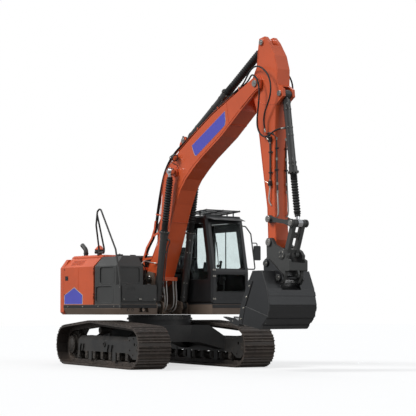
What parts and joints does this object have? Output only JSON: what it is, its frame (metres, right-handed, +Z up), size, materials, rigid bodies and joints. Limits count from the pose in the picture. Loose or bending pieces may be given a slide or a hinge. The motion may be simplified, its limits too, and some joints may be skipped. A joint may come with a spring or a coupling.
{
  "type": "crawler excavator",
  "caption": "Crawler excavator with a swinging house, hollow cab, boom, arm, quick coupler and bucket, moved by cylinders.",
  "frame": {"origin": "on the ground under the swing axis", "axes": "+X the way the cab and the working arm face, +Y to the operator's left, +Z up; the tracks stand turned 11 degrees to the right of +X"},
  "size_m": [5.8925, 3.3044, 5.59],
  "materials": {
    "orange_paint": "semi-gloss orange paint",
    "black_paint": "satin black paint",
    "grey_paint": "satin dark grey paint",
    "track_steel": "bare worn steel, dark",
    "pin_steel": "bright machined steel",
    "rod_chrome": "polished rod",
    "pale_sleeve": "pale woven hose sleeve",
    "rubber": "matt black rubber",
    "glass": "lightly tinted glass",
    "plastic": "grained plastic",
    "seat_cloth": "woven cloth",
    "bucket_steel": "semi-gloss black paint over steel"
  },
  "bodies": {
    "root": {"track_left": "track_steel", "track_right": "track_steel", "track_frames": "black_paint", "idlers": "black_paint", "sprockets": "black_paint", "track_rollers": "black_paint", "carbody": "black_paint", "swing_bearing": "black_paint"},
    "house": {"foot_hose_1": "pale_sleeve", "foot_hose_2": "pale_sleeve", "foot_hose_3": "pale_sleeve", "foot_hose_4": "pale_sleeve", "lift_hose": "pale_sleeve", "deck_frame": "black_paint", "house_pins": "pin_steel", "counterweight": "orange_paint", "bulkhead": "grey_paint", "pump_room_cover": "orange_paint", "engine_block": "black_paint", "hydraulic_tank": "grey_paint", "tool_box": "grey_paint", "cab_shell": "black_paint", "cab_glass": "glass", "operator_seat": "seat_cloth", "control_consoles": "plastic", "roof_guard": "black_paint", "mirror": "plastic", "handrail": "grey_paint", "exhaust_pipe": "grey_paint", "pre_cleaner": "plastic"},
    "cab_door": {"cab_door": "black_paint", "door_glass": "glass"},
    "right_side_door": {"right_side_door": "orange_paint"},
    "left_side_door": {"left_side_door": "orange_paint"},
    "engine_hood": {"engine_hood": "orange_paint"},
    "tool_box_lid": {"tool_box_lid": "grey_paint"},
    "boom": {"boom": "orange_paint", "boom_pins": "pin_steel", "boom_lamps": "plastic", "boom_hoses": "rubber", "hose_brackets": "orange_paint", "arm_hose_outer": "rubber", "arm_hose_inner": "rubber", "arm_hose_left": "rubber"},
    "boom_barrels": {"boom_cylinder": "black_paint"},
    "boom_rods": {"boom_rod": "rod_chrome", "boom_bellows": "rubber"},
    "arm": {"arm": "orange_paint", "arm_pins": "pin_steel"},
    "arm_barrel": {"arm_cylinder": "black_paint"},
    "arm_rod": {"arm_rod": "rod_chrome", "arm_bellows": "rubber"},
    "bucket_barrel": {"bucket_cylinder": "black_paint"},
    "bucket_rod": {"bucket_rod": "rod_chrome", "bucket_bellows": "rubber"},
    "rocker": {"rocker_links": "grey_paint"},
    "bucket_link": {"bucket_link": "grey_paint"},
    "bucket": {"quick_coupler": "grey_paint", "bucket": "bucket_steel", "bucket_teeth": "bucket_steel"}
  },
  "joints": [
    {"name": "swing", "type": "hinge", "parent": "root", "child": "house", "pos_m": [0, 0, 0.925], "axis": [0, 0, 1], "continuous": true},
    {"name": "boom_lift", "type": "hinge", "parent": "house", "child": "boom", "pos_m": [0, 0, 1.58], "axis": [0, 1, 0], "range_deg": [-15, 95], "deforming": ["foot_hose_1", "foot_hose_2", "foot_hose_3", "foot_hose_4", "lift_hose"]},
    {"name": "arm_swing", "type": "hinge", "parent": "boom", "child": "arm", "pos_m": [2.94, 0, 4.81], "axis": [0, -1, 0], "range_deg": [-14, 88], "deforming": ["arm_hose_outer", "arm_hose_inner", "arm_hose_left"]},
    {"name": "bucket_curl", "type": "hinge", "parent": "arm", "child": "bucket", "pos_m": [3.29, 0, 2.12], "axis": [0, -1, 0], "range_deg": [-35, 100]},
    {"name": "boom_barrel_turn", "type": "hinge", "parent": "house", "child": "boom_barrels", "pos_m": [0.316, 0, 1.085], "axis": [0, 1, 0], "range_deg": [-14.59, 92.4]},
    {"name": "boom_rod_slide", "type": "slide", "parent": "boom_barrels", "child": "boom_rods", "axis": [0.1702, 0, 0.9854], "range_m": [-0.8796, 0.1397], "deforming": ["boom_bellows"]},
    {"name": "arm_barrel_turn", "type": "hinge", "parent": "boom", "child": "arm_barrel", "pos_m": [0.87, 0, 4.05], "axis": [0, -1, 0], "range_deg": [-0.58, 3.62]},
    {"name": "arm_rod_slide", "type": "slide", "parent": "arm_barrel", "child": "arm_rod", "axis": [0.8326, 0, 0.5538], "range_m": [-0.99, 0.1583], "deforming": ["arm_bellows"]},
    {"name": "rocker_turn", "type": "hinge", "parent": "arm", "child": "rocker", "pos_m": [3.27, 0, 2.507], "axis": [0, -1, 0], "range_deg": [-27.75, 79.29]},
    {"name": "link_turn", "type": "hinge", "parent": "rocker", "child": "bucket_link", "pos_m": [3.78, 0, 2.42], "axis": [0, -1, 0], "range_deg": [-55.96, 19.59]},
    {"name": "bucket_barrel_turn", "type": "hinge", "parent": "arm", "child": "bucket_barrel", "pos_m": [3.5, 0, 4.58], "axis": [0, -1, 0], "range_deg": [-2.83, 0.99]},
    {"name": "bucket_rod_slide", "type": "slide", "parent": "bucket_barrel", "child": "bucket_rod", "axis": [0.1286, 0, -0.9917], "range_m": [-0.6056, 0.2126], "deforming": ["bucket_bellows"]},
    {"name": "cab_door_swing", "type": "hinge", "parent": "house", "child": "cab_door", "pos_m": [-0.082, 1.283, 1.9], "axis": [0, 0, 1], "range_deg": [0, 165]},
    {"name": "right_door_swing", "type": "hinge", "parent": "house", "child": "right_side_door", "pos_m": [-0.402, -1.204, 1.5], "axis": [0, 0, 1], "range_deg": [0, 100]},
    {"name": "left_door_swing", "type": "hinge", "parent": "house", "child": "left_side_door", "pos_m": [-1.398, 1.204, 1.5], "axis": [0, 0, 1], "range_deg": [0, 100]},
    {"name": "hood_lift", "type": "hinge", "parent": "house", "child": "engine_hood", "pos_m": [-1.384, 0, 2.012], "axis": [0, -1, 0], "range_deg": [0, 55]},
    {"name": "tool_lid_lift", "type": "hinge", "parent": "house", "child": "tool_box_lid", "pos_m": [0.484, -0.8, 1.464], "axis": [0, -1, 0], "range_deg": [0, 100]}
  ],
  "couplings": [
    {"joint": "boom_barrel_turn", "follows": "boom_lift", "ratio": 0.9536},
    {"joint": "boom_rod_slide", "follows": "boom_lift", "m_per_rad": -0.5195},
    {"joint": "arm_barrel_turn", "follows": "arm_swing", "ratio": 0.0403},
    {"joint": "arm_rod_slide", "follows": "arm_swing", "m_per_rad": -0.6313},
    {"joint": "rocker_turn", "follows": "bucket_curl", "ratio": 0.7773},
    {"joint": "link_turn", "follows": "bucket_curl", "ratio": -0.5486},
    {"joint": "bucket_barrel_turn", "follows": "bucket_curl", "ratio": -0.0277},
    {"joint": "bucket_rod_slide", "follows": "bucket_curl", "m_per_rad": -0.3396}
  ]
}
